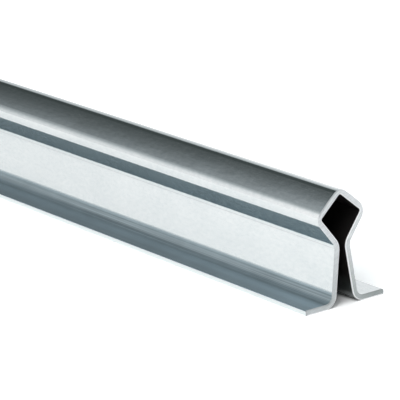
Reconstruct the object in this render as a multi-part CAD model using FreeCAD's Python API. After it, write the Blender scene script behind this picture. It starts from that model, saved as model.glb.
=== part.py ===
"""V-groove track for a sliding gate, set in concrete: one length of roll-formed galvanised strip.

The strip is folded into one section that is the same along the whole length. An inverted V runs along
the top, and the grooved wheels of the gate ride on its two flanks. Below it the strip turns back in to
a narrow throat, then spreads down two legs to a foot turned outwards on each side. Both feet lie flat
on the floor, and the hollow head and the gap between the legs are open at both ends.

Frame, in millimetres: +X runs along the track, +Y is across it, and +Z is up. The origin is at the
middle of the length, midway between the feet, on the plane that the feet stand on.

The section is drawn from its inside face, which is the face of the strip that looks into the hollow
head, along the gap between the legs and down at the floor. The outside face is the strip's thickness
away from it.
"""

import FreeCAD
import Part

import math
import os

# --- Driving dimensions, in millimetres -------------------------------------------------------------

TRACK_LENGTH = 3000.0

STRIP_THICKNESS = 2.5
STRIP_EDGE_RADIUS = 0.4  # the two long rolled edges of the strip, at the tips of the feet

LEG_HEIGHT = 27.8  # from the floor up to the throat, on the inside face
THROAT_HEIGHT = 12.7  # from the throat up to the widest part of the head
HEAD_HEIGHT = 9.5  # from the widest part of the head up to its apex

HEAD_HALF_WIDTH = 10.6  # from the middle plane to the head's inside corner
THROAT_HALF_GAP = 1.2  # from the middle plane to where the throat's two inside faces meet
LEG_HALF_GAP = 5.0  # from the middle plane to the leg's inside face, at the floor
FOOT_WIDTH = 16.1  # from the leg's inside face at the floor out to the tip of the foot

HEAD_INSIDE_RADIUS = 0.8  # the three tight folds of the head
APEX_OUTSIDE_RADIUS = 4.7  # the strip thins as it is folded tight, so these aren't concentric
CORNER_OUTSIDE_RADIUS = 5.5
THROAT_OUTSIDE_RADIUS = 5.0
FOOT_TOP_RADIUS = 3.4

# --- Values that follow from them -------------------------------------------------------------------

THROAT_LEVEL = LEG_HEIGHT
CORNER_LEVEL = LEG_HEIGHT + THROAT_HEIGHT
APEX_LEVEL = LEG_HEIGHT + THROAT_HEIGHT + HEAD_HEIGHT
FOOT_TIP = LEG_HALF_GAP + FOOT_WIDTH
THROAT_INSIDE_RADIUS = THROAT_OUTSIDE_RADIUS + STRIP_THICKNESS
FOOT_UNDERSIDE_RADIUS = FOOT_TOP_RADIUS + STRIP_THICKNESS


def inside_points():
    """The inside face's fold points on the +Y side, as (y, z), from the foot's tip up to the apex."""
    return [
        (FOOT_TIP, 0.0),
        (LEG_HALF_GAP, 0.0),
        (THROAT_HALF_GAP, THROAT_LEVEL),
        (HEAD_HALF_WIDTH, CORNER_LEVEL),
        (0.0, APEX_LEVEL),
    ]


def mirrored(points):
    """The points carried on past the middle plane, so that a half outline becomes a whole one."""
    return points + [(-y, z) for y, z in reversed(points[:-1])]


def shifted_line(start, end, distance):
    """A point on the line that runs `distance` to the right of start-to-end, and its direction."""
    run_y, run_z = end[0] - start[0], end[1] - start[1]
    length = math.hypot(run_y, run_z)
    direction = (run_y / length, run_z / length)
    return (start[0] + direction[1] * distance, start[1] - direction[0] * distance), direction


def crossing(line_a, line_b):
    """The point where two lines meet, each given as a point and a direction."""
    (ay, az), (uy, uz) = line_a
    (by, bz), (vy, vz) = line_b
    along_a = ((by - ay) * vz - (bz - az) * vy) / (uy * vz - uz * vy)
    return (ay + uy * along_a, az + uz * along_a)


def outside_points(inside):
    """The fold points of the outside face, one strip thickness from the inside face."""
    lines = [shifted_line(a, b, STRIP_THICKNESS) for a, b in zip(inside, inside[1:])]
    tips = [(inside[0][0], STRIP_THICKNESS), (inside[-1][0], STRIP_THICKNESS)]
    return [tips[0]] + [crossing(a, b) for a, b in zip(lines, lines[1:])] + [tips[1]]


def rounded_wire(corners):
    """A closed wire across the track through (y, z, radius) corners, with a tangent arc at each."""
    places = [FreeCAD.Vector(0.0, y, z) for y, z, _ in corners]
    arcs = []
    for i, (_, _, radius) in enumerate(corners):
        corner = places[i]
        back = (places[i - 1] - corner).normalize()
        ahead = (places[(i + 1) % len(places)] - corner).normalize()
        half_angle = back.getAngle(ahead) / 2.0
        reach = radius / math.tan(half_angle)
        middle = (back + ahead).normalize() * (radius / math.sin(half_angle) - radius)
        arcs.append((corner + back * reach, corner + middle, corner + ahead * reach))
    edges = []
    for i, (start, through, end) in enumerate(arcs):
        edges.append(Part.Arc(start, through, end).toShape())
        edges.append(Part.LineSegment(end, arcs[(i + 1) % len(arcs)][0]).toShape())
    return Part.Wire(edges)


def section():
    """The track's section as a face, with every fold and both strip edges rounded."""
    inside = mirrored(inside_points())
    outside = outside_points(inside)
    inside_half = [STRIP_EDGE_RADIUS, FOOT_UNDERSIDE_RADIUS, THROAT_INSIDE_RADIUS, HEAD_INSIDE_RADIUS]
    outside_half = [STRIP_EDGE_RADIUS, FOOT_TOP_RADIUS, THROAT_OUTSIDE_RADIUS, CORNER_OUTSIDE_RADIUS]
    inside_radii = inside_half + [HEAD_INSIDE_RADIUS] + inside_half[::-1]
    outside_radii = outside_half + [APEX_OUTSIDE_RADIUS] + outside_half[::-1]
    outline = [(y, z, r) for (y, z), r in zip(inside, inside_radii)]
    outline += [(y, z, r) for (y, z), r in reversed(list(zip(outside, outside_radii)))]
    return Part.Face(rounded_wire(outline))


def gate_track():
    """The whole length as one solid, centred on the origin along X."""
    start = section()
    start.translate(FreeCAD.Vector(-TRACK_LENGTH / 2.0, 0.0, 0.0))
    return start.extrude(FreeCAD.Vector(TRACK_LENGTH, 0.0, 0.0))


def main():
    """Writes the one sub-part and prints its size, volume and developed strip width."""
    os.makedirs("parts", exist_ok=True)
    track = gate_track()
    track.exportStep("parts/gate_track.step")
    box = track.BoundBox
    strip_width = section().Area / STRIP_THICKNESS
    print(f"gate_track: {box.XLength:.1f} x {box.YLength:.2f} x {box.ZLength:.2f} mm, valid {track.isValid()}")
    print(f"volume {track.Volume / 1e3:.1f} cm3, strip about {strip_width:.1f} mm wide, {len(track.Solids)} solid")


main()
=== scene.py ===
"""Looks for one length of v-groove gate track: galvanised strip, bare cut ends, and the studio that shows it.

Frame, as in the CAD: +X along the track, +Y across it, +Z up, metres, with the feet standing on z = 0.
"""

import logging
import math
from dataclasses import dataclass, replace
from enum import Enum, IntEnum
from typing import ClassVar

import bmesh
import bpy
from mathutils import Matrix, Vector


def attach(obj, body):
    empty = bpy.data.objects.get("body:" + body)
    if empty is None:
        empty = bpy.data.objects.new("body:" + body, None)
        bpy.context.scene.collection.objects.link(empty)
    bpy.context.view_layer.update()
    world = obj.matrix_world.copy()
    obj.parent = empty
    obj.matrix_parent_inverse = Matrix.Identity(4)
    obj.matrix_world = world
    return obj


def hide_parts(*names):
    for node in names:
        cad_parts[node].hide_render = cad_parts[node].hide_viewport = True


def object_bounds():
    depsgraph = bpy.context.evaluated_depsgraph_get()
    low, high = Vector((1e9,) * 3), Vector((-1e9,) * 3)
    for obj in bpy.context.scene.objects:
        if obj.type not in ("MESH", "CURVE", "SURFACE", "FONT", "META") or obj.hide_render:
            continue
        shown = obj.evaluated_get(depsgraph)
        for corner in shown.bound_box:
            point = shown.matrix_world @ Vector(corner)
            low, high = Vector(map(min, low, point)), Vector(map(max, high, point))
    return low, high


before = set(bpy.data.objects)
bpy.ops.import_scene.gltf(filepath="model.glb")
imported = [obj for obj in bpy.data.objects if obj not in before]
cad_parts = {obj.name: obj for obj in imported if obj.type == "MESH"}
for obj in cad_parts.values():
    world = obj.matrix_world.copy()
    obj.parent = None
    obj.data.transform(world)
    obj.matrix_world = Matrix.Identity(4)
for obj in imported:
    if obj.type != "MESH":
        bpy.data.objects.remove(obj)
CAD_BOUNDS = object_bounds()

LOG = logging.getLogger("gate_track")
MM = 0.001
NODE = "gate_track"
BODY = "root"
PIECE = "gate_track_strip"
BLACK = (0.0, 0.0, 0.0, 1.0)
WHITE = (1.0, 1.0, 1.0, 1.0)
NUMBER = "NodeSocketFloat"
HALF_LENGTH = (CAD_BOUNDS[1][0] - CAD_BOUNDS[0][0]) / 2
CUT_FACING = 0.9  # a face whose normal points this much along X belongs to one of the two cuts

Socket = bpy.types.NodeSocket
Colour = tuple[float, float, float, float]
Span = tuple[float, float]
Stop = tuple[float, tuple[float, float, float]]
Point = tuple[float, float]
Line = tuple[Point, Point]


class Attribute(Enum):
    """Names of the mesh's attributes, which the finishes read, and of its map for baking."""

    FOLD_RADIUS = "fold_radius"
    FOOT_ZONE = "foot_zone"
    INSIDE_ZONE = "inside_zone"
    UNDER_ZONE = "under_zone"
    STRIP_PLACE = "strip_place"
    BAKE_MAP = "OFBake"


class Surface(IntEnum):
    """The piece's material slots, in order."""

    ZINC = 0
    SAWN = 1
    FILED_HIGHLIGHT = 2


# --- Node wiring ------------------------------------------------------------------------------------


class Wiring:
    """Adds nodes to a tree and links them, so that a finish reads as a short list of steps."""

    def __init__(self, tree: bpy.types.NodeTree) -> None:
        """Starts on an empty tree.

        Args:
            tree: the node tree to fill; nodes already in it are removed.
        """
        self.tree = tree
        tree.nodes.clear()

    def add(self, kind: str, inputs: dict | None = None, **settings: object) -> bpy.types.Node:
        """Adds a node, sets its properties, and fills or links its inputs.

        Args:
            kind: the node's type name.
            inputs: socket name or index to a value, or to an output socket that is linked to it.
            **settings: properties of the node itself.

        Returns:
            The new node.
        """
        node = self.tree.nodes.new(kind)
        for name, value in settings.items():
            setattr(node, name, value)
        for key, value in (inputs or {}).items():
            if isinstance(value, Socket):
                self.tree.links.new(value, node.inputs[key])
            else:
                node.inputs[key].default_value = value
        return node

    def maths(self, operation: str, *values: object) -> Socket:
        """Adds a Math node.

        Args:
            operation: the node's operation, such as MULTIPLY.
            *values: its inputs in order, each a number or an output socket.

        Returns:
            The node's output socket.
        """
        return self.add("ShaderNodeMath", dict(enumerate(values)), operation=operation).outputs[0]

    def blend(self, factor: object, first: object, second: object) -> Socket:
        """Adds a colour Mix node.

        Args:
            factor: how much of the second colour shows, 0 to 1.
            first: the first colour.
            second: the second colour.

        Returns:
            The mixed colour's socket.
        """
        return self.add("ShaderNodeMix", {0: factor, 6: first, 7: second}, data_type="RGBA").outputs[2]

    def span(
        self, value: object, low: float, high: float, to_low: float, to_high: float, smooth: bool = False
    ) -> Socket:
        """Adds a Map Range node.

        Args:
            value: the number to map.
            low: the value that becomes to_low.
            high: the value that becomes to_high.
            to_low: the result at low.
            to_high: the result at high.
            smooth: True for an eased step, False for a straight one.

        Returns:
            The mapped number's socket.
        """
        kind = "SMOOTHSTEP" if smooth else "LINEAR"
        inputs = {"Value": value, "From Min": low, "From Max": high, "To Min": to_low, "To Max": to_high}
        return self.add("ShaderNodeMapRange", inputs, interpolation_type=kind).outputs["Result"]

    def ramp(self, value: object, stops: tuple[Stop, ...]) -> Socket:
        """Adds a Color Ramp node.

        Args:
            value: the number that runs along the ramp.
            stops: (position, linear colour) pairs in rising order.

        Returns:
            The ramp's colour socket.
        """
        node = self.add("ShaderNodeValToRGB", {0: value})
        node.color_ramp.interpolation = "LINEAR"
        elements = node.color_ramp.elements
        while len(elements) < len(stops):
            elements.new(1.0)
        for element, (position, colour) in zip(elements, stops):
            element.position = position
            element.color = (*colour, 1.0)
        return node.outputs[0]

    def weighted(self, *terms: tuple[Socket, float]) -> Socket:
        """Adds numbers up, each times its weight.

        Args:
            *terms: (number, weight) pairs.

        Returns:
            The sum's socket.
        """
        total, *others = [self.maths("MULTIPLY", value, weight) for value, weight in terms]
        for part in others:
            total = self.maths("ADD", total, part)
        return total

    def darken(self, colour: object, mask: Socket, amount: float) -> Socket:
        """A colour that loses the given share of its light where the mask is 1."""
        return self.blend(self.maths("MULTIPLY", mask, amount), colour, BLACK)

    def scaled(self, colour: Socket, factor: Socket) -> Socket:
        """A colour times a number."""
        return self.add("ShaderNodeVectorMath", {0: colour, "Scale": factor}, operation="SCALE").outputs[0]


def new_material(name: str) -> tuple[bpy.types.Material, Wiring]:
    """Starts a material.

    Args:
        name: the material's name.

    Returns:
        The material, and the wiring of its empty tree.
    """
    made = bpy.data.materials.new(name)
    made.use_nodes = True
    return made, Wiring(made.node_tree)


def group_sockets(
    tree: bpy.types.NodeTree, inputs: list[tuple[str, str]], outputs: list[tuple[str, str]]
) -> dict[str, str]:
    """Declares a node group's sockets.

    Args:
        tree: the group's tree.
        inputs: (name, socket type) pairs.
        outputs: (name, socket type) pairs.

    Returns:
        Each input's name to its identifier.
    """
    found = {}
    for name, kind in inputs:
        found[name] = tree.interface.new_socket(name=name, in_out="INPUT", socket_type=kind).identifier
    for name, kind in outputs:
        tree.interface.new_socket(name=name, in_out="OUTPUT", socket_type=kind)
    return found


# --- Finishes ---------------------------------------------------------------------------------------


@dataclass(frozen=True)
class ZincMottle:
    """The cloudy patches and fine grain that zinc shows, as a shader group."""

    name: str = "Zinc mottle"
    shown: Span = (0.3, 0.7)
    patch_share: float = 0.93
    grain_share: float = 0.07

    def group(self) -> bpy.types.NodeTree:
        """Finds the group, or builds it.

        Returns:
            The group: place along and across the strip in, patch and grain strengths and height out.
        """
        if self.name in bpy.data.node_groups:
            return bpy.data.node_groups[self.name]
        tree = bpy.data.node_groups.new(self.name, "ShaderNodeTree")
        inputs = [(name, NUMBER) for name in ("Along", "Across", "Patch Size", "Grain Size", "Stretch")]
        group_sockets(tree, inputs, [(name, NUMBER) for name in ("Patches", "Grain", "Height")])
        wire = Wiring(tree)
        given = wire.add("NodeGroupInput")
        along = wire.maths("DIVIDE", given.outputs["Along"], given.outputs["Stretch"])
        place = wire.add("ShaderNodeCombineXYZ", {0: along, 1: given.outputs["Across"]}).outputs[0]
        patches = wire.add("ShaderNodeTexNoise", {
            "Vector": place, "Scale": wire.maths("DIVIDE", 1.0, given.outputs["Patch Size"]),
            "Detail": 3.0, "Roughness": 0.55,
        }).outputs[0]
        grain = wire.add("ShaderNodeTexNoise", {
            "Vector": place, "Scale": wire.maths("DIVIDE", 1.0, given.outputs["Grain Size"]),
            "Detail": 2.0, "Roughness": 0.6,
        }).outputs[0]
        wire.add("NodeGroupOutput", {
            "Patches": wire.span(patches, *self.shown, 0.0, 1.0),
            "Grain": wire.span(grain, *self.shown, 0.0, 1.0),
            "Height": wire.weighted((patches, self.patch_share), (grain, self.grain_share)),
        })
        return tree


@dataclass(frozen=True)
class RollLines:
    """Fine lines along the strip, left by the forming rolls, as a shader group."""

    name: str = "Roll lines"
    shown: Span = (0.3, 0.7)

    def group(self) -> bpy.types.NodeTree:
        """Finds the group, or builds it.

        Returns:
            The group: place along and across the strip in, line strength out, about 0 to 1.
        """
        if self.name in bpy.data.node_groups:
            return bpy.data.node_groups[self.name]
        tree = bpy.data.node_groups.new(self.name, "ShaderNodeTree")
        inputs = [(name, NUMBER) for name in ("Along", "Across", "Spacing", "Run")]
        group_sockets(tree, inputs, [("Lines", NUMBER)])
        wire = Wiring(tree)
        given = wire.add("NodeGroupInput")
        along = wire.maths("DIVIDE", given.outputs["Along"], given.outputs["Run"])
        across = wire.maths("DIVIDE", given.outputs["Across"], given.outputs["Spacing"])
        place = wire.add("ShaderNodeCombineXYZ", {0: along, 1: across}).outputs[0]
        lines = wire.add("ShaderNodeTexNoise", {
            "Vector": place, "Scale": 1.0, "Detail": 2.0, "Roughness": 0.6,
        }).outputs[0]
        wire.add("NodeGroupOutput", {"Lines": wire.span(lines, *self.shown, 0.0, 1.0)})
        return tree


@dataclass(frozen=True)
class Zone:
    """A part of the strip, entered where a mesh attribute goes from its start to its full value."""

    attribute: Attribute
    start: float
    full: float

    def mask(self, wire: Wiring) -> Socket:
        """How far a place lies inside the zone, from 0 to 1."""
        value = wire.add("ShaderNodeAttribute", attribute_name=self.attribute.value).outputs["Fac"]
        return wire.span(value, self.start, self.full, 0.0, 1.0, smooth=True)


@dataclass(frozen=True)
class Band:
    """A line along the strip, from where one zone is entered to where the next one is."""

    begins: Zone
    ends: Zone

    def mask(self, wire: Wiring) -> Socket:
        """How far a place lies on the line, from 0 to 1."""
        not_ended = wire.maths("SUBTRACT", 1.0, self.ends.mask(wire))
        return wire.maths("MULTIPLY", self.begins.mask(wire), not_ended)


def strip_coordinates(wire: Wiring) -> tuple[Socket, Socket]:
    """The place along the track and the place across the unfolded strip, both in metres.

    Args:
        wire: the material's wiring.

    Returns:
        The two sockets.
    """
    place = wire.add("ShaderNodeTexCoord").outputs["Object"]
    along = wire.add("ShaderNodeSeparateXYZ", {0: place}).outputs["X"]
    across = wire.add("ShaderNodeAttribute", attribute_name=Attribute.STRIP_PLACE.value).outputs["Fac"]
    return along, across


@dataclass(frozen=True)
class GalvanisedFinish:
    """Bright galvanised strip after roll forming."""

    name: str = "Galvanised strip"
    bright: Colour = (0.855, 0.875, 0.88, 1.0)
    dull: Colour = (0.71, 0.75, 0.765, 1.0)
    # painted shade: the +Y foot's top and the fold above it are coloured darker and bluer, darkest towards
    # the tip
    foot: Colour = (0.50, 0.59, 0.63, 1.0)
    foot_tip: Colour = (0.40, 0.505, 0.57, 1.0)
    edge: Colour = (0.84, 0.885, 0.89, 1.0)
    # painted shade: the head's underside is coloured darker and bluer than the faces above it
    under: Colour = (0.76, 0.865, 0.885, 1.0)
    under_shade_dark: Colour = (0.48, 0.555, 0.585, 1.0)
    # painted shade: the hollow inside the fold is coloured near black, with a lighter painted sheen low on
    # the inner legs
    inside: Colour = (0.060, 0.054, 0.054, 1.0)
    inside_painted_sheen: Colour = (0.26, 0.28, 0.28, 1.0)

    foot_at: Zone = Zone(Attribute.FOOT_ZONE, 0.885, 0.955)
    past_fold_at: Zone = Zone(Attribute.FOOT_ZONE, 1.06, 1.10)
    fold_at: Band = Band(Zone(Attribute.FOOT_ZONE, 0.96, 1.0), past_fold_at)
    crease_at: Band = Band(Zone(Attribute.FOOT_ZONE, 1.02, 1.05), Zone(Attribute.FOOT_ZONE, 1.065, 1.085))
    tip_at: Zone = Zone(Attribute.FOOT_ZONE, 0.98, 1.17)
    verge_at: Zone = Zone(Attribute.FOOT_ZONE, 1.11, 1.18)
    edge_at: Zone = Zone(Attribute.FOOT_ZONE, -1.0, -3.0)
    under_at: Zone = Zone(Attribute.UNDER_ZONE, 0.8, 1.0)
    # painted shade: thin darker lines on the head's underside, by the throat and by the corner
    shade_line_at: Band = Band(Zone(Attribute.UNDER_ZONE, 0.0, 0.08), Zone(Attribute.UNDER_ZONE, 0.12, 0.25))
    inside_at: Zone = Zone(Attribute.INSIDE_ZONE, 0.05, 0.35)
    deep_at: Zone = Zone(Attribute.INSIDE_ZONE, 0.6, 0.76)

    tone_shares: tuple[float, float, float] = (0.35, 0.50, 0.08)  # of the patches, the grain and the lines
    foot_streak: float = 0.14
    foot_patch: float = 0.16
    fold_streak: float = 0.36
    # painted shade: darker across the middle of the fold above the +Y foot
    crease_painted_shade: float = 0.16
    # painted shade: darker along the outer part of the +Y foot's top, towards the tip
    verge_painted_shade: float = 0.26
    shade_line_dark: float = 0.20
    # painted light: the feet past their fold are brightened towards both ends of the length
    foot_painted_light: float = 0.20  # how much brighter the feet are at the two ends
    foot_painted_light_reach: Span = (HALF_LENGTH - 130 * MM, HALF_LENGTH)  # from the middle of the length
    end_light: Span = (0.965, 1.035)
    end_light_reach: Span = (HALF_LENGTH - 220 * MM, HALF_LENGTH)

    gloss_shares: tuple[float, float] = (0.7, 0.3)  # of the patches and the lines
    roughness: Span = (0.09, 0.14)
    foot_roughness: float = 0.20
    fold_roughness: float = 0.22
    under_roughness: float = 0.10
    inside_roughness: float = 0.22
    deep_metallic: float = 0.82

    patch_size: float = 17 * MM
    grain_size: float = 1.5 * MM
    stretch: float = 2.0
    line_spacing: float = 0.36 * MM
    line_run: float = 160 * MM
    line_height: float = 0.012
    bump: float = 0.25 * MM
    bump_strength: float = 0.5

    def material(self) -> bpy.types.Material:
        """Builds the material.

        Returns:
            A metal whose tone, gloss and surface vary with the zinc's patches and the roll lines, with
            painted shade on the feet, under the head and in the hollow, and painted light towards the ends.
        """
        made, wire = new_material(self.name)
        along, across = strip_coordinates(wire)
        mottle = wire.add("ShaderNodeGroup", {
            "Along": along, "Across": across, "Patch Size": self.patch_size, "Grain Size": self.grain_size,
            "Stretch": self.stretch,
        }, node_tree=ZincMottle().group())
        streaks = wire.add("ShaderNodeGroup", {
            "Along": along, "Across": across, "Spacing": self.line_spacing, "Run": self.line_run,
        }, node_tree=RollLines().group()).outputs["Lines"]
        patches, grain = mottle.outputs["Patches"], mottle.outputs["Grain"]
        foot, fold = self.foot_at.mask(wire), self.fold_at.mask(wire)
        under, inside, deep = self.under_at.mask(wire), self.inside_at.mask(wire), self.deep_at.mask(wire)
        outwards = wire.maths("ABSOLUTE", along)

        tone = wire.weighted(*zip((patches, grain, streaks), self.tone_shares))
        faces = wire.blend(tone, self.bright, self.dull)
        colour = wire.blend(under, faces, wire.blend(grain, self.under, self.under_shade_dark))
        colour = wire.darken(colour, self.shade_line_at.mask(wire), self.shade_line_dark)
        colour = wire.scaled(colour, wire.span(outwards, *self.end_light_reach, *self.end_light, smooth=True))
        colour = wire.blend(foot, colour, self.foot_colour(wire, patches, streaks, fold, outwards))
        colour = wire.blend(self.edge_at.mask(wire), colour, self.edge)
        colour = wire.blend(inside, colour, wire.blend(deep, self.inside_painted_sheen, self.inside))

        gloss = wire.weighted(*zip((patches, streaks), self.gloss_shares))
        roughness = wire.weighted(
            (wire.span(gloss, 0.0, 1.0, *self.roughness), 1.0), (foot, self.foot_roughness),
            (fold, self.fold_roughness), (under, self.under_roughness), (inside, self.inside_roughness),
        )
        height = wire.weighted((mottle.outputs["Height"], 1.0), (streaks, self.line_height))
        bump = wire.add("ShaderNodeBump", {
            "Height": height, "Strength": self.bump_strength, "Distance": self.bump,
        })
        shader = wire.add("ShaderNodeBsdfPrincipled", {
            "Base Color": colour, "Roughness": roughness,
            "Metallic": wire.span(deep, 0.0, 1.0, 1.0, self.deep_metallic), "Normal": bump.outputs[0],
        })
        wire.add("ShaderNodeOutputMaterial", {0: shader.outputs[0]})
        return made

    def foot_colour(
        self, wire: Wiring, patches: Socket, streaks: Socket, fold: Socket, outwards: Socket
    ) -> Socket:
        """The colour of the feet and of the folds above them, with painted shade across the fold and towards
        the tip, and painted light at the two ends.

        Args:
            wire: the material's wiring.
            patches: the strength of the zinc's patches.
            streaks: the strength of the roll lines.
            fold: where the foot's fold is.
            outwards: the distance from the middle of the length.

        Returns:
            The colour's socket.
        """
        colour = wire.blend(self.tip_at.mask(wire), self.foot, self.foot_tip)
        colour = wire.darken(colour, streaks, self.foot_streak)
        colour = wire.darken(colour, patches, self.foot_patch)
        colour = wire.darken(colour, wire.maths("MULTIPLY", fold, streaks), self.fold_streak)
        colour = wire.darken(colour, self.crease_at.mask(wire), self.crease_painted_shade)
        colour = wire.darken(colour, self.verge_at.mask(wire), self.verge_painted_shade)
        painted_light = wire.span(outwards, *self.foot_painted_light_reach, 0.0, self.foot_painted_light, smooth=True)
        return wire.scaled(colour, wire.maths("MULTIPLY_ADD", painted_light, self.past_fold_at.mask(wire), 1.0))


@dataclass(frozen=True)
class CutEndFinish:
    """Bare steel where the length was sawn off."""

    name: str = "Sawn steel"
    pale: Colour = (0.78, 0.80, 0.82, 1.0)
    dark: Colour = (0.36, 0.39, 0.39, 1.0)
    roughness: Span = (0.42, 0.58)
    mark_slant: float = math.radians(28.0)
    mark_spacing: float = 0.45 * MM
    mark_run: float = 12 * MM
    mark_dark: float = 0.35
    mark_depth: float = 0.05 * MM
    mark_strength: float = 0.4
    # painted shade: the cut is coloured darker low down, near the floor, and towards -Y
    shade_below: Span = (3 * MM, 36 * MM)
    shade_beside: Span = (-20 * MM, 8 * MM)
    shade_left: float = 0.45  # what stays of the darkness at the +Y end of shade_beside

    def material(self) -> bpy.types.Material:
        """Builds the material.

        Returns:
            A metal with fine parallel saw marks across the cut, and painted shade that makes it darker low
            down and towards -Y.
        """
        made, wire = new_material(self.name)
        place = wire.add("ShaderNodeTexCoord").outputs["Object"]
        slanted = wire.add("ShaderNodeMapping", {0: place, "Rotation": (self.mark_slant, 0.0, 0.0)})
        parts = wire.add("ShaderNodeSeparateXYZ", {0: slanted.outputs[0]})
        marks = wire.add("ShaderNodeGroup", {
            "Along": parts.outputs["Y"], "Across": parts.outputs["Z"],
            "Spacing": self.mark_spacing, "Run": self.mark_run,
        }, node_tree=RollLines().group()).outputs["Lines"]
        across = wire.add("ShaderNodeSeparateXYZ", {0: place})
        low = wire.span(across.outputs["Z"], *self.shade_below, 1.0, 0.0, smooth=True)
        beside = wire.span(across.outputs["Y"], *self.shade_beside, 1.0, self.shade_left, smooth=True)
        shaded_tone = wire.blend(wire.maths("MULTIPLY", low, beside), self.pale, self.dark)
        colour = wire.blend(wire.maths("MULTIPLY", marks, self.mark_dark), shaded_tone, self.dark)
        bump = wire.add("ShaderNodeBump", {
            "Height": marks, "Strength": self.mark_strength, "Distance": self.mark_depth,
        })
        shader = wire.add("ShaderNodeBsdfPrincipled", {
            "Base Color": colour, "Roughness": wire.span(marks, 0.0, 1.0, *self.roughness),
            "Metallic": 1.0, "Normal": bump.outputs[0],
        })
        wire.add("ShaderNodeOutputMaterial", {0: shader.outputs[0]})
        return made


@dataclass(frozen=True)
class FiledEdgeHighlightFinish:
    """The narrow line where the cut's sharp inner edges are broken off, painted bright white as a highlight.
    """

    name: str = "Filed edge highlight"
    colour: Colour = (0.95, 0.96, 0.97, 1.0)
    roughness: float = 0.5

    def material(self) -> bpy.types.Material:
        """Builds the material.

        Returns:
            A plain bright surface that shines the same from all sides, a painted highlight.
        """
        made, wire = new_material(self.name)
        shader = wire.add("ShaderNodeBsdfPrincipled", {
            "Base Color": self.colour, "Roughness": self.roughness, "Metallic": 0.0,
        })
        wire.add("ShaderNodeOutputMaterial", {0: shader.outputs[0]})
        return made


# --- The track --------------------------------------------------------------------------------------


@dataclass(frozen=True)
class Fold:
    """A corner of the section's outline and the radius it is rounded to, in metres."""

    y: float
    z: float
    radius: float
    foot: float = 0.0  # 1 at the top of the foot's fold, and more out towards the tip
    inside: float = 0.0
    under: float = 0.0
    # painted shade: on the -Y side the foot zone is scaled by this, so that foot stays much lighter than the
    # +Y one
    far_foot: ClassVar[float] = 0.905

    def mirrored(self) -> "Fold":
        """The same corner on the -Y side, where the foot gets much less of the painted foot shade."""
        return replace(self, y=-self.y, foot=min(self.foot, 1.0) * self.far_foot)


def turned(direction: Point, angle: float) -> Point:
    """A direction turned anticlockwise.

    Args:
        direction: the direction as (y, z).
        angle: the turn in radians.

    Returns:
        The turned direction.
    """
    (y, z), cosine, sine = direction, math.cos(angle), math.sin(angle)
    return y * cosine - z * sine, y * sine + z * cosine


def crossing(first: Line, second: Line) -> Point:
    """Where two lines meet.

    Args:
        first: a point and a direction.
        second: a point and a direction.

    Returns:
        The crossing as (y, z).
    """
    (ay, az), (uy, uz) = first
    (by, bz), (vy, vz) = second
    along = ((by - ay) * vz - (bz - az) * vy) / (uy * vz - uz * vy)
    return ay + uy * along, az + uz * along


def direction_of(start: Point, end: Point) -> Point:
    """The unit direction from start to end."""
    run = (end[0] - start[0], end[1] - start[1])
    length = math.hypot(*run)
    return run[0] / length, run[1] / length


def mirror_line(line: Line) -> Line:
    """The line on the -Y side that mirrors one on the +Y side, still run from the +Y side on."""
    (y, z), (way_y, way_z) = line
    return (-y, z), (way_y, -way_z)


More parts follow.
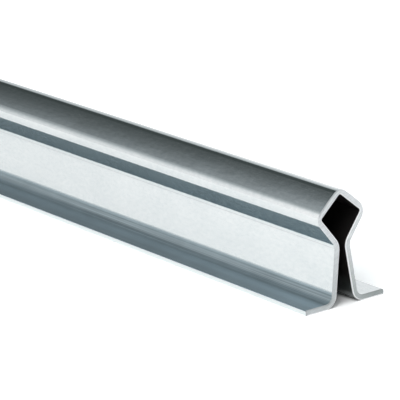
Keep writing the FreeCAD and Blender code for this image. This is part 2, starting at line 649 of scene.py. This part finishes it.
@dataclass(frozen=True)
class TrackSection:
    """The folded strip's section; sizes in metres, angles in radians."""

    strip_thickness: float = 2.5 * MM
    strip_edge_radius: float = 0.4 * MM
    rounded_edge_radius: float = 0.9 * MM
    leg_height: float = 27.8 * MM
    throat_height: float = 12.7 * MM
    head_height: float = 9.5 * MM
    head_half_width: float = 10.6 * MM
    throat_half_gap: float = 1.2 * MM
    leg_half_gap: float = 5.0 * MM
    foot_width: float = 16.1 * MM
    head_inside_radius: float = 1.2 * MM
    apex_outside_radius: float = 4.7 * MM
    corner_outside_radius: float = 5.5 * MM
    throat_outside_radius: float = 5.0 * MM
    foot_top_radius: float = 3.4 * MM
    flank_crown: float = math.radians(6.0)
    crown_share: float = 0.98  # how much of the flank's straight runs the crown's arc takes up
    throat_raise: Point = (0.22 * MM, 0.30 * MM)
    throat_facet: tuple[float, float] = (0.85 * MM, 1.45 * MM)  # its reach above and below the throat
    throat_facet_radii: tuple[float, float] = (0.7 * MM, 1.6 * MM)
    lip_turn: float = math.radians(15.0)
    lip_radius: float = 2.0 * MM
    foot_marks: tuple[float, float, float] = (1.2, 1.06, 1.0)  # the foot zone at the tip and across the fold
    edge_mark: float = -10.0  # the foot zone on the strip's edge
    hidden_marks: tuple[float, ...] = (0.0, 0.6, 1.0, 1.0, 1.0)  # the inside zone, from the tip to the apex

    def inside_corners(self) -> list[Point]:
        """The inside face's corners on the +Y side, from the foot's tip up to the apex."""
        throat = self.leg_height
        corner = throat + self.throat_height
        return [
            (self.leg_half_gap + self.foot_width, 0.0),
            (self.leg_half_gap, 0.0),
            (self.throat_half_gap, throat),
            (self.head_half_width, corner),
            (0.0, corner + self.head_height),
        ]

    def outside_lines(self) -> list[Line]:
        """The outside face's four straight runs, each a strip's thickness out from the inside face."""
        corners = self.inside_corners()
        lines = []
        for start, end in zip(corners, corners[1:]):
            y, z = direction_of(start, end)
            beside = (start[0] + z * self.strip_thickness, start[1] - y * self.strip_thickness)
            lines.append((beside, (y, z)))
        return lines

    def arc_centre(self, corner: Point, before: Point, after: Point, radius: float) -> Point:
        """The centre of the arc that rounds a corner.

        Args:
            corner: the corner's place.
            before: the direction of the line that comes in.
            after: the direction of the line that goes out.
            radius: the arc's radius.

        Returns:
            The centre as (y, z).
        """
        bisector = direction_of((0.0, 0.0), (after[0] - before[0], after[1] - before[1]))
        half_turn = math.acos(max(-1.0, min(1.0, before[0] * after[0] + before[1] * after[1]))) / 2.0
        reach = radius / math.cos(half_turn)
        return corner[0] + bisector[0] * reach, corner[1] + bisector[1] * reach

    def outside_folds(self) -> list[Fold]:
        """Works out the outside face's folds on the +Y side.

        The leg leans in a little more than the inside face, the throat is a small flat, the face above it
        ends in a short lip, and the flank is crowned by one wide arc.

        Returns:
            The folds, from the foot's tip up to the apex.
        """
        foot, leg, under, flank = self.outside_lines()
        tip = (self.leg_half_gap + self.foot_width, self.strip_thickness)
        heel, neck, side = crossing(foot, leg), crossing(leg, under), crossing(under, flank)
        leg = (heel, direction_of(heel, (neck[0] + self.throat_raise[0], neck[1] + self.throat_raise[1])))
        throat = crossing(leg, under)
        heel_arc = self.arc_centre(heel, foot[1], leg[1], self.foot_top_radius)
        halfway = direction_of((0.0, 0.0), (foot[1][0] + leg[1][0], foot[1][1] + leg[1][1]))
        bend = self.touching(heel_arc, halfway, -self.foot_top_radius)
        above, below = self.throat_facet
        facet_top = (throat[0] + under[1][0] * above, throat[1] + under[1][1] * above)
        facet_bottom = (throat[0] - leg[1][0] * below, throat[1] - leg[1][1] * below)
        side_arc = self.arc_centre(side, under[1], flank[1], self.corner_outside_radius)
        far_flank = mirror_line(flank)
        peak = crossing(flank, far_flank)
        apex_arc = self.arc_centre(peak, flank[1], far_flank[1], self.apex_outside_radius)
        half = self.flank_crown / 2.0
        lower = self.touching(side_arc, turned(flank[1], -half), self.corner_outside_radius)
        upper = self.touching(apex_arc, turned(flank[1], half), self.apex_outside_radius)
        crown = crossing(lower, upper)
        straight = min(math.dist(crown, lower[0]), math.dist(crown, upper[0]))
        lip = self.touching(side_arc, turned(under[1], self.lip_turn), self.corner_outside_radius)
        tip_mark, bend_mark, heel_mark = self.foot_marks
        return [
            Fold(*tip, self.strip_edge_radius, foot=tip_mark),
            Fold(*crossing(foot, bend), self.foot_top_radius, foot=bend_mark),
            Fold(*crossing(bend, leg), self.foot_top_radius, foot=heel_mark),
            Fold(*facet_bottom, self.throat_facet_radii[1]),
            Fold(*facet_top, self.throat_facet_radii[0], under=1.0),
            Fold(*crossing(under, lip), self.lip_radius, under=1.0),
            Fold(*crossing(lip, lower), self.corner_outside_radius),
            Fold(*crown, self.crown_share * straight / math.tan(half)),
            Fold(*crossing(upper, mirror_line(upper)), self.apex_outside_radius),
        ]

    def touching(self, centre: Point, way: Point, radius: float) -> Line:
        """The line that touches an arc from outside.

        Args:
            centre: the arc's centre.
            way: the line's direction, with the outside on its right.
            radius: the arc's radius.

        Returns:
            The point where it touches, and its direction.
        """
        return (centre[0] + way[1] * radius, centre[1] - way[0] * radius), way

    def inside_folds(self) -> list[Fold]:
        """The inside face's folds on the +Y side, from the foot's tip up to the apex."""
        radii = [
            self.strip_edge_radius,
            self.foot_top_radius + self.strip_thickness,
            self.throat_outside_radius + self.strip_thickness,
            self.head_inside_radius,
            self.head_inside_radius,
        ]
        marked = zip(self.inside_corners(), radii, self.hidden_marks)
        folds = [Fold(y, z, radius, inside=hidden) for (y, z), radius, hidden in marked]
        return [replace(folds[0], foot=self.edge_mark)] + folds[1:]

    def outline(self) -> list[Fold]:
        """The whole outline, anticlockwise with +Y to the right and +Z up.

        It starts and ends on the underside of the +Y foot, where nothing is seen of the join.
        """
        outside, inside = self.outside_folds(), self.inside_folds()
        far_outside = [fold.mirrored() for fold in reversed(outside[:-1])]
        far_inside = [fold.mirrored() for fold in inside[:-1]]
        far_outside[-1] = replace(far_outside[-1], radius=self.rounded_edge_radius)
        far_inside[0] = replace(far_inside[0], radius=self.rounded_edge_radius)
        loop = outside + far_outside + far_inside + list(reversed(inside))
        return loop[-1:] + loop[:-1]


class SweepTree:
    """The geometry nodes that round a section's corners and carry it along a straight track."""

    merge_distance: float = 0.001 * MM

    def __init__(self, zinc: bpy.types.Material, cut: bpy.types.Material) -> None:
        """Builds the tree.

        Args:
            zinc: the material of the strip's faces and edges.
            cut: the material of the two sawn ends.
        """
        self.tree = bpy.data.node_groups.new("Section along a track", "GeometryNodeTree")
        inputs = [
            ("Section", "NodeSocketGeometry"), ("Length", NUMBER),
            ("Arc Steps", "NodeSocketInt"), ("Pieces Along", "NodeSocketInt"),
        ]
        self.sockets = group_sockets(self.tree, inputs, [("Track", "NodeSocketGeometry")])
        wire = Wiring(self.tree)
        given = wire.add("NodeGroupInput")
        section = wire.add("GeometryNodeMeshToCurve", {0: given.outputs["Section"]})
        radius = wire.add("GeometryNodeInputNamedAttribute", {
            "Name": Attribute.FOLD_RADIUS.value,
        }, data_type="FLOAT")
        rounded = wire.add("GeometryNodeFilletCurve", {
            "Curve": section.outputs[0], "Count": given.outputs["Arc Steps"], "Radius": radius.outputs[0],
        }, mode="POLY")
        place = wire.add("GeometryNodeSplineParameter").outputs["Length"]
        marked = wire.add("GeometryNodeStoreNamedAttribute", {
            "Geometry": rounded.outputs[0], "Name": Attribute.STRIP_PLACE.value, "Value": place,
        }, data_type="FLOAT", domain="POINT")
        half = wire.maths("MULTIPLY", given.outputs["Length"], 0.5)
        start = wire.add("ShaderNodeCombineXYZ", {0: wire.maths("MULTIPLY", half, -1.0)}).outputs[0]
        end = wire.add("ShaderNodeCombineXYZ", {0: half}).outputs[0]
        line = wire.add("GeometryNodeCurvePrimitiveLine", {"Start": start, "End": end})
        steps = wire.maths("ADD", given.outputs["Pieces Along"], 1.0)
        pieces = wire.add("GeometryNodeResampleCurve", {
            "Curve": line.outputs[0], "Count": steps,
        }, mode="COUNT")
        level = wire.add("GeometryNodeSetCurveNormal", {"Curve": pieces.outputs[0]}, mode="Z_UP")
        swept = wire.add("GeometryNodeCurveToMesh", {
            "Curve": level.outputs[0], "Profile Curve": marked.outputs[0], "Fill Caps": True,
        })
        whole = wire.add("GeometryNodeMergeByDistance", {
            "Geometry": swept.outputs[0], "Distance": self.merge_distance,
        })
        solid = wire.add("GeometryNodeRealizeInstances", {"Geometry": whole.outputs[0]})
        dressed = wire.add("GeometryNodeSetMaterial", {"Geometry": solid.outputs[0], "Material": zinc})
        facing = wire.add("ShaderNodeSeparateXYZ", {0: wire.add("GeometryNodeInputNormal").outputs[0]})
        is_cut = wire.maths("GREATER_THAN", wire.maths("ABSOLUTE", facing.outputs["X"]), CUT_FACING)
        ended = wire.add("GeometryNodeSetMaterial", {
            "Geometry": dressed.outputs[0], "Selection": is_cut, "Material": cut,
        })
        wire.add("NodeGroupOutput", {0: ended.outputs[0]})


@dataclass(frozen=True)
class GateTrack:
    """The whole length, which stands for the CAD node."""

    section: TrackSection = TrackSection()
    length: float = 2 * HALF_LENGTH
    arc_steps: int = 12
    pieces_along: int = 60
    arris_width: float = 0.5 * MM
    arris_depth: float = 0.25 * MM
    bake_rows: int = 3
    bake_margin: float = 8 * MM
    cut_map_facing: float = 0.5  # past this, a face's normal lies more along X than across it
    cut_map_shifts: tuple[float, float] = (30 * MM, 110 * MM)  # where the -X and +X cuts' middles go
    sharp_angle: float = math.radians(20.0)
    # painted highlight: past this inside zone a broken edge is painted near white, not left as bare metal
    highlight_from: float = 0.3  # the inside zone past which a broken edge is a filed, bright one

    def section_mesh(self) -> bpy.types.Mesh:
        """The section's corners as a closed chain of edges, with each corner's radius on its point.

        The sweep turns its section half round, so the chain is drawn half round too.
        """
        folds = self.section.outline()
        mesh = bpy.data.meshes.new("track_section")
        edges = [(i, (i + 1) % len(folds)) for i in range(len(folds))]
        mesh.from_pydata([(-fold.y, -fold.z, 0.0) for fold in folds], edges, [])
        for attribute, values in (
            (Attribute.FOLD_RADIUS, [fold.radius for fold in folds]),
            (Attribute.FOOT_ZONE, [fold.foot for fold in folds]),
            (Attribute.INSIDE_ZONE, [fold.inside for fold in folds]),
            (Attribute.UNDER_ZONE, [fold.under for fold in folds]),
        ):
            mesh.attributes.new(attribute.value, "FLOAT", "POINT").data.foreach_set("value", values)
        return mesh

    def swept(self) -> bpy.types.Mesh:
        """Runs the sweep and breaks the sharp edges of the two cuts.

        Returns:
            A plain closed mesh.
        """
        tree = SweepTree(GalvanisedFinish().material(), CutEndFinish().material())
        draft = bpy.data.objects.new("track_draft", self.section_mesh())
        bpy.context.scene.collection.objects.link(draft)
        sweep = draft.modifiers.new("Sweep", "NODES")
        sweep.node_group = tree.tree
        straight = self.length - 2 * self.arris_depth
        sizes = {"Length": straight, "Arc Steps": self.arc_steps, "Pieces Along": self.pieces_along}
        for name, value in sizes.items():
            sweep[tree.sockets[name]] = value
        graph = bpy.context.evaluated_depsgraph_get()
        mesh = bpy.data.meshes.new_from_object(
            draft.evaluated_get(graph), preserve_all_data_layers=True, depsgraph=graph
        )
        bpy.data.objects.remove(draft)
        mesh.materials.append(FiledEdgeHighlightFinish().material())
        self.break_edges(mesh)
        return mesh

    def break_edges(self, mesh: bpy.types.Mesh) -> None:
        """Bevels the sharp edges round both cuts, and paints the bevel bright along the inside face as a
        highlight.

        Args:
            mesh: the swept strip, which is changed.
        """
        work = bmesh.new()
        work.from_mesh(mesh)
        hidden = work.verts.layers.float[Attribute.INSIDE_ZONE.value]
        for cut in [face for face in work.faces if abs(face.normal.x) > CUT_FACING]:
            made = bmesh.ops.inset_region(
                work, faces=[cut], thickness=self.arris_width, depth=self.arris_depth, use_even_offset=True
            )
            for face in made["faces"]:
                depth = sum(vert[hidden] for vert in face.verts) / len(face.verts)
                face.material_index = Surface.FILED_HIGHLIGHT if depth > self.highlight_from else Surface.SAWN
        work.to_mesh(mesh)
        work.free()

    def lay_out_map(self, mesh: bpy.types.Mesh) -> None:
        """Gives the mesh a map for baking: the strip unfolded and cut into rows, and the two cuts above them.

        Args:
            mesh: the finished mesh.
        """
        places = [item.value for item in mesh.attributes[Attribute.STRIP_PLACE.value].data]
        first = min(range(len(places)), key=places.__getitem__)
        last = max(range(len(places)), key=places.__getitem__)
        round_trip = places[last] + math.dist(mesh.vertices[first].co.yz, mesh.vertices[last].co.yz)
        row_length = self.length / self.bake_rows
        row_height = round_trip + 4 * self.bake_margin
        side = row_length + 2 * self.bake_margin
        corners = mesh.uv_layers.new(name=Attribute.BAKE_MAP.value).data
        for face in mesh.polygons:
            loops = list(face.loop_indices)
            points = [mesh.vertices[mesh.loops[i].vertex_index] for i in loops]
            if abs(face.normal.x) > self.cut_map_facing:
                shift = self.cut_map_shifts[face.normal.x > 0]
                for i, point in zip(loops, points):
                    up = point.co.z + self.bake_rows * row_height
                    corners[i].uv = ((point.co.y + shift) / side, up / side)
                continue
            row = min(self.bake_rows - 1, int((face.center.x + self.length / 2) / row_length))
            across = [places[point.index] for point in points]
            if max(across) - min(across) > round_trip / 2:
                across = [value if value > round_trip / 2 else value + round_trip for value in across]
            for i, point, value in zip(loops, points, across):
                along = point.co.x + self.length / 2 - row * row_length + self.bake_margin
                corners[i].uv = (along / side, (value + row * row_height + self.bake_margin) / side)

    def build(self) -> bpy.types.Object:
        """Makes the piece and ties it to the frame.

        Returns:
            The finished object.
        """
        mesh = self.swept()
        mesh.name = PIECE
        self.lay_out_map(mesh)
        mesh.shade_smooth()
        mesh.set_sharp_from_angle(angle=self.sharp_angle)
        piece = bpy.data.objects.new(PIECE, mesh)
        bpy.context.scene.collection.objects.link(piece)
        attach(piece, BODY)
        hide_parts(NODE)
        return piece


# --- The studio -------------------------------------------------------------------------------------


@dataclass(frozen=True)
class Floor:
    """A plain pale floor that stays white around the track and keeps its shadow."""

    half_width: float = 60.0
    drop: float = 0.02 * MM
    pale: Colour = (0.80, 0.80, 0.80, 1.0)
    mirrored: Colour = (1.08, 1.08, 1.07, 1.0)
    shown: Colour = (1.32, 1.32, 1.32, 1.0)

    def build(self) -> bpy.types.Object:
        """Makes the floor.

        Returns:
            The floor's object.
        """
        w, z = self.half_width, -self.drop
        mesh = bpy.data.meshes.new("floor")
        mesh.from_pydata([(-w, -w, z), (w, -w, z), (w, w, z), (-w, w, z)], [], [(0, 1, 2, 3)])
        made, wire = new_material("Pale floor")
        path = wire.add("ShaderNodeLightPath")
        colour = wire.blend(path.outputs["Is Glossy Ray"], self.pale, self.mirrored)
        colour = wire.blend(path.outputs["Is Camera Ray"], colour, self.shown)
        diffuse = wire.add("ShaderNodeBsdfDiffuse", {"Color": colour})
        wire.add("ShaderNodeOutputMaterial", {0: diffuse.outputs[0]})
        mesh.materials.append(made)
        floor = bpy.data.objects.new("floor", mesh)
        bpy.context.scene.collection.objects.link(floor)
        return floor


@dataclass(frozen=True)
class Lamp:
    """A broad soft lamp far away, which lights the whole length alike."""

    name: str
    towards: tuple[float, float, float]
    strength: float
    spread: float

    def build(self) -> bpy.types.Object:
        """Makes the lamp.

        Returns:
            The lamp's object.
        """
        light = bpy.data.lights.new(self.name, "SUN")
        light.energy = self.strength
        light.angle = math.radians(self.spread)
        lamp = bpy.data.objects.new(self.name, light)
        lamp.rotation_euler = Vector(self.towards).to_track_quat("Z", "Y").to_euler()
        bpy.context.scene.collection.objects.link(lamp)
        return lamp


@dataclass(frozen=True)
class Studio:
    """A white room with a dark strip of ceiling above the track, and one soft lamp above on the +Y side."""

    floor: Floor = Floor()
    lamps: tuple[Lamp, ...] = (Lamp("key", (-0.35, 0.45, 0.82), 1.3, 40.0),)
    overhead: Colour = (0.55, 0.58, 0.60, 1.0)
    overhead_at: Span = (0.78, 0.93)  # how far up a direction points where this starts and is full
    endwise_at: Span = (0.765, 0.80)
    endwise_gain: float = 1.05  # a direction less endwise than that counts as further aside by this
    far_steps: tuple[tuple[float, float, float], ...] = (
        (0.0, 0.25, 0.15),
        (0.25, 0.32, 0.285),
        (0.32, 0.48, 0.04),
        (0.48, 0.58, 0.085),
        (0.58, 1.0, 0.44),
    )
    sides: tuple[Stop, ...] = (
        (0.00, (0.055, 0.067, 0.066)),
        (0.115, (0.062, 0.074, 0.074)),
        (0.15, (0.076, 0.090, 0.090)),
        (0.17, (0.092, 0.106, 0.107)),
        (0.195, (0.118, 0.135, 0.138)),
        (0.22, (0.152, 0.172, 0.177)),
        (0.25, (0.220, 0.246, 0.255)),
        (0.28, (0.305, 0.338, 0.350)),
        (0.31, (0.350, 0.385, 0.396)),
        (0.38, (0.400, 0.435, 0.445)),
        (0.43, (0.490, 0.525, 0.535)),
        (0.48, (0.620, 0.655, 0.665)),
        (0.525, (0.770, 0.800, 0.810)),
        (0.57, (0.900, 0.915, 0.920)),
        (0.64, (1.0, 1.0, 1.0)),
    )

    def world(self) -> bpy.types.World:
        """Builds the room's light: white at both sides, dark along the ceiling, white to the camera.

        The light depends on how far aside, along Y, a direction points. On the -Y side the way from dark
        to white goes in steps, each one from a low to a high value that adds its rise.

        Returns:
            The world.
        """
        made = bpy.data.worlds.new("Studio room")
        made.use_nodes = True
        wire = Wiring(made.node_tree)
        way = wire.add("ShaderNodeSeparateXYZ", {0: wire.add("ShaderNodeTexCoord").outputs["Generated"]})
        endwise = wire.maths("ABSOLUTE", way.outputs["X"])
        gain = wire.span(endwise, *self.endwise_at, self.endwise_gain, 1.0)
        aside = wire.maths("MULTIPLY", wire.maths("ABSOLUTE", way.outputs["Y"]), gain)
        stepped = 0.0
        for low, high, rise in self.far_steps:
            stepped = wire.maths("ADD", stepped, wire.span(aside, low, high, 0.0, rise))
        beyond = wire.maths("LESS_THAN", way.outputs["Y"], 0.0)
        shift = wire.maths("MULTIPLY", wire.maths("SUBTRACT", stepped, aside), beyond)
        room = wire.ramp(wire.maths("ADD", aside, shift), self.sides)
        above = wire.span(way.outputs["Z"], *self.overhead_at, 0.0, 1.0, smooth=True)
        light = wire.blend(above, room, self.overhead)
        lit = wire.add("ShaderNodeBackground", {"Color": light, "Strength": 1.0})
        white = wire.add("ShaderNodeBackground", {"Color": WHITE, "Strength": 1.0})
        path = wire.add("ShaderNodeLightPath")
        both = wire.add("ShaderNodeMixShader", {
            0: path.outputs["Is Camera Ray"], 1: lit.outputs[0], 2: white.outputs[0],
        })
        wire.add("ShaderNodeOutputWorld", {0: both.outputs[0]})
        return made

    def build(self) -> None:
        """Makes the floor, the lamps and the room, and sets plain colours."""
        self.floor.build()
        for lamp in self.lamps:
            lamp.build()
        scene = bpy.context.scene
        scene.world = self.world()
        scene.view_settings.view_transform = "Standard"


@dataclass(frozen=True)
class Viewpoint:
    """A long lens by the -X end, above the +Y side, looking along the track."""

    place: tuple[float, float, float] = (-HALF_LENGTH - 953.2 * MM, 714.2 * MM, 403.6 * MM)
    heading: float = -33.98
    tilt: float = 16.51
    lean: float = -3.55
    lens: float = 263.07
    sensor_width: float = 36.0
    clip: Span = (0.05, 500.0)

    def build(self) -> bpy.types.Object:
        """Makes the camera and sets it as the scene's.

        Returns:
            The camera's object.
        """
        data = bpy.data.cameras.new("camera")
        data.lens = self.lens
        data.sensor_width = self.sensor_width
        data.clip_start, data.clip_end = self.clip
        camera = bpy.data.objects.new("camera", data)
        aim = Matrix.Rotation(math.radians(self.heading - 90.0), 4, "Z")
        aim @= Matrix.Rotation(math.radians(90.0 - self.tilt), 4, "X")
        aim @= Matrix.Rotation(math.radians(self.lean), 4, "Z")
        camera.matrix_world = Matrix.Translation(Vector(self.place)) @ aim
        bpy.context.scene.collection.objects.link(camera)
        bpy.context.scene.camera = camera
        return camera


def main() -> None:
    """Builds the track, the studio and the camera, and reports the piece."""
    logging.basicConfig(level=logging.INFO, format="%(message)s")
    piece = GateTrack().build()
    size = [round(side / MM, 2) for side in piece.dimensions]
    LOG.info("%s: %d faces, size %s mm", piece.name, len(piece.data.polygons), size)
    Studio().build()
    Viewpoint().build()


if __name__ == "__main__":
    main()
